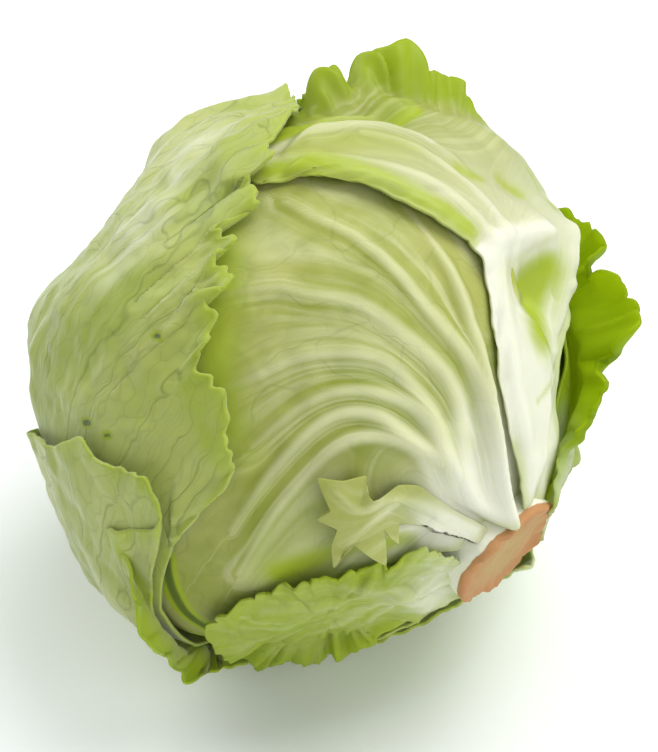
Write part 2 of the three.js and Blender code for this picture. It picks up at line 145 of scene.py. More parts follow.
# The leaves, from the innermost outwards. Lengths are in millimetres and places (down, round).
# centre: the place that the leaf is laid out flat round, from which its whole outline is seen.
# segments: squares of the grid each way. teeth: (count round the edge, depth).
# waves: height of the edge's ruffles. pucker: height of the crinkles between the ribs.
# flute: length of a frill's narrow folds, where it isn't FLUTE_LENGTH.
# soft: over what length the outline's notches are smoothed away further in, if not SOFT_REACH.
# tension: how round the outline runs through its places, 0.5 if not given.
# outline: the places round the leaf, from its base on the stem.
# ribs: (height, width, places along it). Below 0 it is a groove.
# bumps: (down, round, height, width in degrees). Below 0 it is a dent.
# frills: (down, round, lift, curl, width in degrees), where the edge stands up and ruffles.
# tints: (strength, width, places along it), the leaf's own marks of colour and also painted shade in
# creases and gaps and a painted highlight. Above 0 the leaf takes on its edge's colour there, and
# past about 1.1 the dark colour of its veins. Below 0 it turns white.
LEAF_FORMS = {
    "ribbed_leaf": dict(
        centre=(66, 45), segments=170, teeth=(0, 0), waves=0.6, pucker=0.6, finish="ribbed_leaf",
        outline=(
            (12, 24), (12, -8), (14, -22), (28, -18), (45, -22), (68, -25), (88, -20), (104, -4), (114, 22),
            (118, 55), (114, 88), (96, 112), (76, 122), (60, 118), (44, 100), (30, 80), (18, 68), (12, 60),
        ),
        ribs=(
            (4.4, 3.2, ((13, 8), (22, 4), (36, 2), (49, -1), (58, -3), (67, -4), (80, -4))),
            (3.0, 3.0, ((13, 14), (20, 8), (38, 4), (48, 4), (59, 7), (69, 8), (79, 10), (86, 13),
                        (94, 15))),
            (2.0, 3.4, ((13, 26), (25, 24), (40, 12), (49, 12), (58, 15), (68, 19), (75, 25), (81, 29),
                        (88, 38))),
            (2.0, 3.0, ((14, 32), (29, 27), (41, 21), (50, 21), (57, 23), (63, 29), (68, 36), (71, 43),
                        (75, 51))),
            (1.5, 2.6, ((29, 27), (42, 23), (50, 27), (57, 34), (61, 43), (64, 57))),
            (1.4, 2.4, ((34, 28), (40, 30), (50, 33), (56, 42), (58, 59), (60, 78))),
            (1.5, 2.6, ((22, 38), (34, 32), (39, 31), (45, 35), (50, 42), (52, 52), (54, 70), (56, 90))),
            (1.2, 2.2, ((24, 50), (32, 66), (37, 82), (40, 98))),
        ),
        tints_and_painted_light=(
            # Partly the blade's greener colour and partly painted shade in the hollow under the cap leaf's
            # margin.
            (0.62, 10.0, ((99, 29), (88, 38), (80, 47), (73, 56))),
            (0.3, 9.0, ((62, 60), (55, 74), (50, 88))),
            (0.6, 4.0, ((48, 86), (40, 75), (33, 68), (26, 62))),
            # Painted shade: a dark band on the ribbed leaf in the gap under the lower-left leaf's edge.
            (2.0, 2.6, ((71, 93), (69, 101), (66, 109), (62, 114))),
        ),
    ),
    "inner_back_leaf": dict(
        centre=(100, 250), segments=110, teeth=(26, 1.2), waves=1.0, pucker=0.8, finish="wrapper_leaf",
        outline=(
            (13, 255), (18, 235), (40, 205), (70, 186), (105, 176), (140, 160), (160, 95), (150, 5),
            (125, 338), (95, 330), (65, 322), (38, 300), (17, 275),
        ),
        ribs=(
            (2.4, 4.0, ((14, 258), (50, 254), (90, 250), (130, 245))),
            (1.2, 2.6, ((40, 256), (70, 238), (100, 222), (125, 205))),
            (1.2, 2.6, ((50, 254), (80, 272), (110, 290), (130, 310))),
        ),
    ),
    "crown_leaf": dict(
        centre=(92, 282), segments=120, teeth=(20, 1.5), waves=1.6, pucker=0.7, finish="bright_leaf",
        outline=(
            (13, 302), (20, 285), (40, 260), (65, 243), (92, 236), (118, 240), (136, 264), (141, 300),
            (132, 330), (116, 342), (102, 330), (90, 318), (76, 314), (62, 311), (44, 309), (25, 311),
        ),
        ribs=(
            (2.2, 4.0, ((14, 300), (45, 290), (80, 282), (115, 276))),
            (1.2, 2.6, ((60, 286), (85, 300), (108, 318))),
            (1.2, 2.6, ((60, 286), (85, 268), (105, 256))),
        ),
        frills=((76, 314, 1.5, 1.5, 26),),
    ),
    "top_leaf": dict(
        centre=(74, -24), segments=180, teeth=(14, 1.0), waves=0.7, pucker=0.5, flute=13.0,
        finish="top_leaf",
        outline=(
            (12, -30), (12, -54), (18, -52), (25, -46), (33, -44), (40, -46), (48, -47), (56, -51),
            (64, -55), (72, -57), (82, -55), (92, -50), (103, -43), (112, -31), (118, -17), (119, -3),
            (115, 9), (108, 15), (101, 17), (98, 12), (93, 7), (86, 2), (79, -2), (72, -7), (66, -11),
            (58, -11), (51, -8), (40, -4), (28, -2), (18, -4), (12, -8),
        ),
        ribs=(
            (2.6, 3.8, ((14, -14), (30, -8), (45, -10), (57, -15), (64, -22))),
            (2.2, 3.0, ((19, -26), (30, -27), (40, -30), (47, -24), (51, -19))),
            (3.0, 3.2, ((63, -12), (66, -24), (66, -38))),
            (3.4, 3.0, ((68, -48), (58, -47), (48, -43), (38, -39), (24, -34))),
            (3.4, 3.0, ((106, 10), (102, -4), (97, -14), (90, -20), (82, -24))),
            (1.6, 2.4, ((66, -18), (78, -12), (90, -2), (98, 6))),
            (1.2, 2.0, ((68, -24), (80, -20), (92, -14), (98, -8))),
            (1.2, 3.0, ((103, 11), (95, 5), (86, -1), (76, -8), (68, -13))),
            (-2.2, 2.0, ((103, 16), (96, 11), (86, 2), (77, -4), (68, -10))),
            (-3.8, 2.2, ((109, 6), (106, -8), (103, -17), (101, -28))),
            (2.8, 1.7, ((112, 4), (109, -9), (106, -18), (104, -30))),
            (-2.2, 4.0, ((64, -12), (58, -10), (51, -8), (40, -4), (28, -2), (18, -8))),
        ),
        bumps=(
            (86, -4, 2.0, 13), (66, -36, 4.0, 6), (88, -32, 1.5, 12), (56, -30, -7.0, 8),
            (79, -35, -2.5, 5), (82, -24, -1.8, 4), (56, -46, 4.0, 15), (79, -48, -2.5, 5),
            (72, -54, 3.0, 9),
        ),
        frills=(
            (117, -12, 13, 3.2, 8), (112, -33, 12.5, 3.2, 8.5), (115, -23, -10, 0, 2.4),
            (118, 0, 6, 2.5, 6), (105, -45, 8, 2.5, 6),
        ),
        tints_and_painted_light=(
            (0.7, 3.8, ((101, 13), (98, 9), (93, 4), (86, -1), (79, -5), (73, -10), (68, -13))),
            # Painted shade: the dark crease under the rolled margin.
            (1.1, 2.2, ((109, 8), (106, -8), (103, -17), (101, -28))),
            (0.35, 9.0, ((104, 4), (98, -5), (92, -12))),
            (0.5, 1.6, ((112, 4), (109, -9), (106, -18), (104, -30))),
            (-0.5, 1.5, ((106, 10), (102, -4), (97, -14), (90, -20))),
            (0.6, 2.6, ((83, -22), (80, -26))),
            (0.6, 3.2, ((80, -35), (77, -38))),
            (0.95, 4.0, ((82, -46), (75, -47))),
            (1.0, 8.5, ((60, -36), (54, -32), (47, -27))),
            (0.5, 1.2, ((42, -42), (36, -28), (33, -19))),
            (-1.0, 4.0, ((64, -14), (65, -24), (66, -36))),
            (-0.8, 4.0, ((60, -12), (46, -8), (30, -3))),
        ),
    ),
    "right_leaf": dict(
        centre=(70, 250), segments=150, teeth=(20, 2.6), waves=1.6, pucker=0.9, flute=15.0,
        finish="bright_leaf",
        outline=(
            (12, 262), (14, 244), (22, 224), (40, 205), (65, 192), (90, 195), (112, 215), (122, 245),
            (112, 275), (98, 290), (84, 297), (72, 302), (62, 306), (54, 310), (46, 313), (36, 318),
            (27, 320), (18, 322), (12, 316), (12, 280),
        ),
        ribs=(
            (2.4, 4.5, ((13, 257), (35, 256), (60, 255), (90, 254))),
            (1.3, 2.6, ((40, 256), (62, 272), (80, 288), (92, 300))),
            (1.3, 2.6, ((34, 256), (48, 280), (56, 300))),
            (1.3, 2.6, ((40, 256), (66, 238), (86, 222), (98, 208))),
        ),
        frills=(
            (50, 312, 11.0, 4.2, 11), (68, 303, 8.0, 3.6, 10), (34, 318, 5.0, 3.0, 9),
            (61, 307, -6.0, 0.0, 3), (42, 315, -4.0, 0.0, 3),
        ),
    ),
    "bottom_leaf": dict(
        centre=(38, 106), segments=150, teeth=(16, 2.6), waves=1.6, pucker=1.6, flute=17.0,
        finish="bottom_leaf",
        outline=(
            (12, 110), (12, 74), (18, 60), (24, 58), (27, 67), (32, 74), (38, 77), (44, 83), (50, 90),
            (56, 97), (61, 106), (61, 114), (60, 124), (57, 132), (52, 136), (46, 139), (42, 137),
            (38, 136), (33, 136), (26, 140), (18, 146), (12, 152),
        ),
        ribs=(
            (1.8, 3.6, ((13, 104), (25, 98), (36, 96), (50, 98))),
            (1.0, 2.2, ((22, 96), (34, 84), (46, 84))),
            (1.0, 2.2, ((24, 100), (36, 112), (48, 122))),
            (1.0, 2.2, ((22, 104), (32, 120), (42, 134))),
        ),
        frills=((52, 136, 4.5, 2.6, 14), (38, 136, 2.0, 1.6, 12), (38, 74, 1.5, 1.4, 10)),
        tints_and_painted_light=((0.6, 3.0, ((46, 80), (38, 74), (30, 68), (24, 66))),
               (0.4, 3.0, ((56, 104), (46, 98), (34, 92)))),
    ),
    "torn_leaf": dict(
        centre=(37, 53), segments=150, teeth=(0, 0), waves=0.0, pucker=0.5, tension=0.15, soft=7.0,
        finish="torn_leaf",
        outline=(
            (13, 30), (24, 38), (33, 39), (37, 43), (39, 49), (42, 53), (44, 46), (47, 50), (51, 53),
            (48, 56), (46, 58), (47, 62), (43, 62), (42, 68), (40, 74), (39, 65), (35, 67), (31, 69),
            (33, 61), (35, 57), (32, 60), (30, 61), (32, 54), (28, 52), (22, 49), (13, 44),
        ),
        ribs=(
            (1.0, 2.0, ((16, 38), (28, 43), (36, 47), (41, 54), (47, 53))),
            (0.8, 1.6, ((36, 48), (38, 56), (40, 66))),
        ),
        bumps=((46, 56, 3.5, 9), (36, 64, 2.5, 8), (24, 42, -1.2, 9)),
        tints_and_painted_light=((-0.25, 5.0, ((28, 44), (38, 50))),),
    ),
    "cap_leaf": dict(
        centre=(101, 122), segments=190, teeth=(36, 1.3), waves=1.0, pucker=1.3, finish="wrapper_leaf",
        outline=(
            (12, 204), (12, 186), (24, 180), (38, 169), (50, 157), (60, 144), (66, 126), (70, 106),
            (69, 88), (66, 74), (64, 66), (65, 61), (69, 57), (70, 53), (75, 50), (81, 50), (82, 44),
            (85, 40), (91, 39), (86, 36), (88, 33), (93, 33), (92, 28), (98, 28), (95, 20), (101, 17),
            (100, 12), (104, 10), (107, 3), (114, -7), (126, -18), (140, -35), (152, -60), (157, -115),
            (148, -165), (130, 178), (105, 172), (78, 172), (50, 180), (28, 194), (16, 206),
        ),
        ribs=(
            (1.6, 3.6, ((14, 196), (45, 166), (75, 140), (105, 105), (125, 60))),
            (0.7, 2.0, ((60, 130), (76, 104), (84, 80), (82, 60))),
            (0.7, 2.0, ((84, 114), (98, 84), (98, 56), (94, 38))),
            (0.7, 2.0, ((104, 96), (118, 60), (116, 30), (112, 10))),
            (0.7, 2.0, ((70, 124), (98, 136), (124, 140))),
        ),
        bumps=(
            (104, 36, -1.0, 14), (122, 30, -1.6, 5), (128, 50, -1.8, 6), (116, 48, -1.3, 4),
            (132, 20, -1.6, 6), (138, 66, -1.6, 7), (112, 62, 1.0, 8), (124, 10, -1.4, 5),
            (108, 26, -1.2, 4),
        ),
        tints_and_painted_light=(
            (2.2, 1.1, ((91, 51), (92, 51.5))), (2.2, 1.3, ((96, 76), (97, 77))),
            (1.9, 1.0, ((90, 74), (91, 75))),
            (0.5, 1.6, ((104, 44), (100, 43), (96, 40))), (0.5, 4.0, ((68, 62), (74, 58), (80, 54))),
            # Painted highlight: the top of the cap leaf is whitened to stand for its sheen.
            (-0.34, 15.0, ((110, 46), (118, 32), (124, 16))),
        ),
        frills=((84, 42, 1.0, 1.2, 34),),
    ),
    "lower_left_leaf": dict(
        centre=(70, 136), segments=150, teeth=(44, 0.8), waves=0.9, pucker=0.9, finish="wrapper_leaf",
        outline=(
            (12, 206), (14, 196), (24, 190), (38, 178), (50, 165), (59, 150), (63, 136), (66, 124),
            (67, 113), (69, 104), (73, 97), (77, 92), (82, 90), (77, 86), (72, 80), (74, 75), (78, 73),
            (84, 76), (89, 78), (95, 78), (101, 86), (111, 94), (119, 106), (122, 128), (116, 152),
            (102, 172), (80, 188), (52, 196), (28, 202),
        ),
        ribs=(
            (1.6, 3.6, ((13, 192), (40, 172), (62, 152), (84, 128), (96, 104))),
            (0.8, 2.0, ((62, 152), (72, 128), (72, 108))),
            (0.8, 2.0, ((76, 137), (84, 108), (82, 86))),
            (0.8, 2.0, ((66, 148), (90, 156), (106, 158))),
        ),
        frills=((69, 104, 7.0, 1.0, 9), (65, 126, 5.0, 2.0, 10), (76, 75, 1.5, 0.8, 9)),
        tints_and_painted_light=((0.8, 2.2, ((81, 91), (76, 95), (71, 102))),),
    ),
    "under_leaf": dict(
        centre=(68, 196), segments=120, teeth=(30, 1.4), waves=1.0, pucker=0.8, finish="wrapper_leaf",
        outline=(
            (13, 216), (20, 200), (34, 182), (48, 165), (64, 154), (82, 150), (100, 156), (115, 172),
            (120, 196), (112, 222), (94, 238), (72, 245), (46, 244), (26, 232), (15, 224),
        ),
        ribs=(
            (1.6, 3.6, ((13, 226), (30, 216), (44, 207))),
            (0.8, 2.0, ((50, 205), (70, 190), (90, 180))),
        ),
    ),
}


def polar_axes():
    """The head's own axes in the frame: towards the top, across and towards the stem."""
    tilt = math.radians(STEM_TILT)
    stemwards = np.array((0.0, -math.cos(tilt), -math.sin(tilt)))
    topwards = np.array((0.0, -math.sin(tilt), math.cos(tilt)))
    return np.array((topwards, np.cross(stemwards, topwards), stemwards))


AXES = polar_axes()
HEAD_CENTRE = np.array((0.0, 0.0, REST_HEIGHT))


def towards(places):
    """Unit vectors to places on the head."""
    down, round_stem = np.radians(np.asarray(places, float)).T
    local = np.stack(
        (np.sin(down) * np.cos(round_stem), np.sin(down) * np.sin(round_stem), np.cos(down)), -1)
    return local @ AXES


def smooth(value, low, high):
    """0 below low, 1 above high and a smooth rise between."""
    part = np.clip((value - low) / (high - low), 0, 1)
    return part * part * (3 - 2 * part)


def bell(directions, place, width):
    """A bell of height 1 round a place, by the angle from it."""
    angle = np.arccos(np.clip(directions @ towards([place])[0], -1, 1))
    return np.exp(-((angle / math.radians(width)) ** 2))


def sum_of_bells(directions, rows):
    """The height that (down, round, height, width) rows add up to in each direction."""
    return sum((height * bell(directions, place, width) for *place, height, width in rows),
               np.zeros(len(directions)))


def head_radius(directions):
    """How far the heart reaches in each direction."""
    return HEART_RADIUS + sum_of_bells(directions, HEAD_SWELLS)


def circle_at(share):
    """Points on a unit circle at shares of the way round, so that noise read there meets its start."""
    angle = 2 * np.pi * share
    return np.stack((np.cos(angle), np.sin(angle), 0 * share), -1)


def ripples(points, size, seed=0, octaves=3):
    """Smooth noise of about -1 to 1 with waves of the given size."""
    shift = Vector((seed * 17.3, seed * 5.1, seed * 9.7))
    return np.array([noise.fractal(Vector(p) / size + shift, 1.0, 2.0, octaves) for p in points])


def curve_through(corners, count, tension=0.5, closed=False):
    """Points along a Catmull-Rom curve through the corners, a like distance apart, and its length."""
    corners = np.asarray(corners, float)
    total = len(corners)
    spans = total if closed else total - 1
    t = np.linspace(0, 1, STEPS_A_SPAN, endpoint=False)[:, None]
    stretches = []
    for i in range(spans):
        if closed:
            p0, p1, p2, p3 = (corners[(i + k) % total] for k in (-1, 0, 1, 2))
        else:
            p0, p1, p2, p3 = (corners[min(max(i + k, 0), total - 1)] for k in (-1, 0, 1, 2))
        m1, m2 = tension * (p2 - p0), tension * (p3 - p1)
        stretches.append((2 * t**3 - 3 * t**2 + 1) * p1 + (t**3 - 2 * t**2 + t) * m1
                         + (3 * t**2 - 2 * t**3) * p2 + (t**3 - t**2) * m2)
    fine = np.concatenate(stretches + [corners[:1] if closed else corners[-1:]])
    length = np.concatenate(([0], np.cumsum(np.linalg.norm(np.diff(fine, axis=0), axis=1))))
    at = np.linspace(0, length[-1], count, endpoint=not closed)
    return np.stack([np.interp(at, length, fine[:, k]) for k in range(fine.shape[1])], -1), length[-1]


def along_path(points, path):
    """For each point: distance to the path, its side of it and how far along it is, from 0 to 1."""
    best = np.full(len(points), np.inf)
    side = np.zeros(len(points))
    along = np.zeros(len(points))
    for i in range(len(path) - 1):
        step = path[i + 1] - path[i]
        share = np.clip((points - path[i]) @ step / (step @ step), 0, 1)
        offset = points - path[i] - share[:, None] * step
        distance = np.linalg.norm(offset, axis=1)
        nearer = distance < best
        best = np.where(nearer, distance, best)
        side = np.where(nearer, np.sign(np.einsum("ij,ij->i", np.cross(step, offset), points)), side)
        along = np.where(nearer, (i + share) / (len(path) - 1), along)
    return best, side, along


class Leaf:
    """One leaf's outline, laid out flat round its centre: x is away from the stem, y is round it."""

    RIM = 1600
    RIB_POINTS = 28
    TINT_AND_LIGHT_POINTS = 16

    def __init__(self, name, centre, outline, tension=0.5, ribs=(), bumps=(), frills=(), tints_and_painted_light=(), **rest):
        self.name = name
        self.bumps, self.frills = bumps, frills
        self.segments, self.teeth, self.waves = rest["segments"], rest["teeth"], rest["waves"]
        self.pucker, self.finish = rest["pucker"], rest["finish"]
        self.flute, self.soft_reach = rest.get("flute", FLUTE_LENGTH), rest.get("soft", SOFT_REACH)
        self.middle = towards([centre])[0]
        self.sideways = np.cross(AXES[2], self.middle)
        self.sideways /= np.linalg.norm(self.sideways)
        self.crownwards = np.cross(self.sideways, self.middle)
        self.ribs = self.traced(ribs, self.RIB_POINTS)
        self.tints_and_painted_light = self.traced(tints_and_painted_light, self.TINT_AND_LIGHT_POINTS)
        corners = self.lay_flat(towards(outline))
        self.rim, self.edge_length = curve_through(corners, self.RIM, tension, closed=True)
        self.rim *= (1 - self.tooth_depth() / np.linalg.norm(self.rim, axis=1))[:, None]
        self.soft_rim = self.soften(self.rim)
        bearings = np.degrees(np.arctan2(self.rim[:, 1], self.rim[:, 0])) % 360
        reaches = np.zeros(360)
        np.maximum.at(reaches, bearings.astype(int), np.linalg.norm(self.rim, axis=1))
        self.bearings = np.flatnonzero(reaches)
        self.reaches = reaches[self.bearings]

    def traced(self, rows, count):
        """Rows of (strength, width, places), with the places made a curve."""
        return [(strength, width, curve_through(towards(path) * SPREAD_RADIUS, count)[0])
                for strength, width, path in rows]

    def soften(self, rim):
        """The rim with its notches and lobes smoothed away, for the rings of the grid further in."""
        turns = np.fft.fftfreq(self.RIM, 1 / self.RIM)
        waves = np.fft.fft(rim[:, 0] + 1j * rim[:, 1])
        soft = np.fft.ifft(waves * np.exp(-2 * (np.pi * turns * self.soft_reach / self.edge_length) ** 2))
        return np.stack((soft.real, soft.imag), -1)

    def tooth_depth(self):
        """How far the edge is cut in at each rim point: rounded teeth of uneven size."""
        count, depth = self.teeth
        share = np.arange(self.RIM) / self.RIM
        if not count:
            return np.zeros(self.RIM)
        circle = circle_at(share)
        drift = ripples(circle, 0.2, seed=len(self.name), octaves=1)
        size = 0.6 + 0.6 * np.abs(ripples(circle, 0.08, seed=len(self.name) + 3))
        lobe = np.abs(np.sin(np.pi * (count * share + 0.8 * drift))) ** 0.6
        away_from_base = smooth(np.minimum(share, 1 - share), 0.04, 0.1)
        return depth * size * (1 - lobe) * away_from_base

    def lay_flat(self, directions):
        """Flat places of directions, as far from the centre as they are along the head."""
        x, y = directions @ self.crownwards, directions @ self.sideways
        reach = np.arccos(np.clip(directions @ self.middle, -1, 1)) * SPREAD_RADIUS
        return np.stack((x, y), -1) * (reach / np.maximum(np.hypot(x, y), 1e-9))[:, None]

    def wrap_round(self, flat):
        """Directions of flat places, the way back from lay_flat."""
        reach = np.linalg.norm(flat, axis=1)
        angle = reach / SPREAD_RADIUS
        share = (np.sin(angle) / np.maximum(reach, 1e-9))[:, None]
        return (np.cos(angle)[:, None] * self.middle + share * flat[:, :1] * self.crownwards
                + share * flat[:, 1:] * self.sideways)

    def edge_point(self, share, rim):
        """The point of a rim at each share of the way round."""
        at = np.asarray(share) * self.RIM
        first = np.floor(at).astype(int)
        part = (at - first)[:, None]
        return rim[first % self.RIM] * (1 - part) + rim[(first + 1) % self.RIM] * part

    def flat_point(self, outwards, share):
        """The flat place at a share of the way round and out, in rings that take on the edge's shape."""
        soft = self.edge_point(share, self.soft_rim)
        sharp = self.edge_point(share, self.rim)
        return (soft + (sharp - soft) * smooth(outwards, 0.5, 1)[:, None]) * outwards[:, None]

    def cover(self, directions):
        """1 where the leaf lies, falling to 0 a little way past its edge."""
        flat = self.lay_flat(directions)
        bearing = np.degrees(np.arctan2(flat[:, 1], flat[:, 0]))
        edge = np.interp(bearing, self.bearings + 0.5, self.reaches, period=360)
        past = np.linalg.norm(flat, axis=1) - edge
        return 1 - smooth(past, COVER_EDGE, COVER_EDGE + COVER_FADE)


LEAVES = [Leaf(name, **form) for name, form in LEAF_FORMS.items()]


def layers_of(leaves, directions):
    """How many of the leaves lie in each direction."""
    return sum((leaf.cover(directions) for leaf in leaves), np.zeros(len(directions)))


def rest_on_surface(points, layers_outside, thickness):
    """Keeps points above the surface the head lies on, with room for the layers outside them."""
    lowest = thickness / 2 + LAYER_STEP * layers_outside - REST_HEIGHT
    points[:, 2] = np.maximum(points[:, 2], lowest)
    return points


def disc_of(square):
    """The disc point for each point of the square, as a radius and a share of the way round."""
    x, y = square[:, 0], square[:, 1]
    wide = np.abs(x) > np.abs(y)
    radius = np.where(wide, x, y)
    with np.errstate(divide="ignore", invalid="ignore"):
        angle = np.where(wide, np.pi / 4 * y / x, np.pi / 2 - np.pi / 4 * x / y)
    angle = np.where(radius == 0, 0, angle) + np.where(radius < 0, np.pi, 0) - np.pi
    return np.abs(radius), np.mod(angle / (2 * np.pi), 1)


def rib_relief(leaf, directions):
    """Height of the ribs, how strongly a point lies on one, and how far across the ribs it lies."""
    points = directions * SPREAD_RADIUS
    height = np.zeros(len(points))
    strength = np.zeros(len(points))
    across = np.zeros(len(points))
    weights = np.full(len(points), 1e-9)
    for index, (rise, width, path) in enumerate(leaf.ribs):
        distance, side, along = along_path(points, path)
        narrow = width * (RIB_BASE_WIDTH - RIB_NARROWING * along)
        profile = np.exp(-((distance / narrow) ** 2)) * (1 - RIB_FADING * along)
        height += rise * profile * (1 - RIB_FLATTENING * along)
        if rise > 0:
            strength = np.maximum(strength, profile)
            weight = 1 / (distance + 1.5) ** 2
            across += weight * (RIB_APART * index + side * distance)
            weights += weight
    return height, strength, across / weights


def edge_waves(leaf, outwards, share, inland):
    """The edge's ruffles, as a height in mm: big waves reach far in and small ones stay at the edge."""
    circle = circle_at(share)
    total = np.zeros(len(share))
    for order, (length, strength) in enumerate(RUFFLES):
        wander = ripples(circle, 0.3, seed=order + 11, octaves=1)
        turns = round(leaf.edge_length / length)
        wave = 0.5 + 0.5 * np.sin(2 * np.pi * (turns * share + wander))
        total += strength * wave * np.exp(-inland / (RUFFLE_REACH * length))
    return total * smooth(outwards, 0.02, 0.2)


def edge_frills(leaf, order, directions, share, inland):
    """How far the frilled stretches of the edge stand up, in mm, and how strongly they curl."""
    drift = ripples(circle_at(share), 0.15, seed=order, octaves=1)
    turns = round(leaf.edge_length / LOBE_LENGTH)
    lobes = 2 * np.abs(np.sin(np.pi * (turns * share + drift))) ** 0.5 - 1
    lift = np.zeros(len(share))
    curl = np.zeros(len(share))
    for *place, rise, roll, width in leaf.frills:
        near = bell(directions, place, width)
        lift += rise * near * smooth(-inland, -LIFT_REACH, 0)
        curl += roll * near
    return lift * (1 + LOBE_DEPTH * lobes), curl


def edge_flutes(leaf, order, share):
    """The narrow folds of a frill, from -1 to 1 along the edge."""
    turns = round(leaf.edge_length / leaf.flute)
    wander = ripples(circle_at(share), 0.12, seed=order + 40, octaves=1)
    return np.sin(2 * np.pi * (turns * share + wander))


def leaf_surface(leaf, square, thickness):
    """The leaf's middle surface over a square grid of points, and what its finish reads."""
    order = LEAVES.index(leaf)
    outwards, share = disc_of(square)
    directions = leaf.wrap_round(leaf.flat_point(outwards, share))
    points = directions * SPREAD_RADIUS
    inland = (1 - outwards) * np.linalg.norm(leaf.edge_point(share, leaf.rim), axis=1)
    layers_inside = 1 + layers_of(LEAVES[:order], directions)
    layers_outside = layers_of(LEAVES[order + 1:], directions)
    free = (1 - np.minimum(1, layers_outside)) ** 0.7

    ribs, rib_strength, grain = rib_relief(leaf, directions)
    pucker = sum(strength * ripples(points, size, seed=order + 5 * step)
                 for step, (size, strength) in enumerate(PUCKERS))
    waves = edge_waves(leaf, outwards, share, inland)
    lift, curl = edge_frills(leaf, order, directions, share, inland)
    relief = (ribs + leaf.pucker * pucker + sum_of_bells(directions, leaf.bumps)
              + (leaf.waves + 0.3 * curl) * waves + lift)
    radius = head_radius(directions) + LAYER_STEP * layers_inside + free * relief

    folds = (waves - 0.7) * smooth(-inland, -12, 0)
    folds += FLUTE_STRENGTH * edge_flutes(leaf, order, share) * smooth(-inland, -16, -1)
    away = leaf.wrap_round(leaf.flat_point(outwards + 0.02, share)) - directions
    away /= np.linalg.norm(away, axis=1)[:, None]
    places = directions * radius[:, None] + away * (curl * free * folds)[:, None]
    places = rest_on_surface(places, layers_outside, thickness)

    tint_and_painted_light = np.zeros(len(points))
    for strength, width, path in leaf.tints_and_painted_light:
        tint_and_painted_light += strength * np.exp(-((along_path(points, path)[0] / width) ** 2))
    return (places + HEAD_CENTRE) * MM, dict(
        rib=rib_strength, inland=inland, tint_and_painted_light=tint_and_painted_light, grain=grain,
        down=np.degrees(np.arccos(np.clip(directions @ AXES[2], -1, 1))),
        frill=np.clip(lift / 6 + 0.25 * curl, 0, 1))


# What each leaf's vertices tell its finish: how far a place is on a rib, the millimetres from the edge,
# the degrees from the stem, its tint, which also carries painted shade and a painted highlight, and
# how frilled it is.
LEAF_VALUES = ("rib", "inland", "down", "tint_and_painted_light", "frill")


def give_values(bm, values):
    """Writes the leaf values on the vertices, as attributes of these names."""
    for key in LEAF_VALUES:
        layer = bm.verts.layers.float.new(key)
        for vertex, value in zip(bm.verts, values[key]):
            vertex[layer] = value


def lay_grain(bm, across, along):
    """Gives the bmesh the UV map that veins and streaks follow, from two values of each vertex."""
    grain = bm.loops.layers.uv.new("grain")
    for face in bm.faces:
        for loop in face.loops:
            i = loop.vert.index
            loop[grain].uv = (across[i], along[i])


def put_in_scene(name, bm, node, finish):
    """Makes the bmesh a smooth piece that stands for a node of the frame."""
    mesh = bpy.data.meshes.new(name)
    bm.to_mesh(mesh)
    bm.free()
    mesh.polygons.foreach_set("use_smooth", [True] * len(mesh.polygons))
    mesh.materials.append(finish)
    piece = bpy.data.objects.new(name, mesh)
    bpy.context.scene.collection.objects.link(piece)
    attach(piece, "root")
    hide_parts(node)
    return piece


def make_leaf(leaf, finish, thickness):
    """A leaf: a square grid laid over the head in the leaf's outline, then given its thickness."""
    bm = bmesh.new()
    bmesh.ops.create_grid(bm, x_segments=leaf.segments, y_segments=leaf.segments, size=1)
    square = np.array([v.co.xy for v in bm.verts])
    places, values = leaf_surface(leaf, square, thickness)
    for vertex, place in zip(bm.verts, places):
        vertex.co = place
    give_values(bm, values)
    lay_grain(bm, values["grain"], values["down"] * MM_PER_DEGREE)
    bm.normal_update()
    outward = sum(f.normal.dot(f.calc_center_median() - Vector(HEAD_CENTRE) * MM) for f in bm.faces)
    if outward < 0:
        bmesh.ops.reverse_faces(bm, faces=bm.faces)
    piece = put_in_scene(leaf.name + "_skin", bm, leaf.name, finish)
    blade = piece.modifiers.new("Blade", "SOLIDIFY")
    blade.thickness = thickness * MM
    blade.offset = 0
    return piece


class Value:
    """A socket of a material, with the arithmetic that a number has."""

    def __init__(self, tree, socket):
        self.tree, self.socket = tree, socket

    def math(self, operation, *others):
        """Adds a Math node that works on this value and the others."""
        node = self.tree.nodes.new("ShaderNodeMath")
        node.operation = operation
        for slot, value in zip(node.inputs, (self, *others)):
            plug(self.tree, slot, value)
        return Value(self.tree, node.outputs[0])

    def __add__(self, other):
        return self.math("ADD", other)

    def __mul__(self, other):
        return self.math("MULTIPLY", other)

    def __sub__(self, other):
        return self.math("SUBTRACT", other)

    def __rsub__(self, other):
        return self * -1 + other

    __radd__ = __add__
    __rmul__ = __mul__


def plug(tree, socket, value):
    """Sets a socket to a number or a colour, or links it."""
    if isinstance(value, Value):
        tree.links.new(value.socket, socket)
    else:
        socket.default_value = value


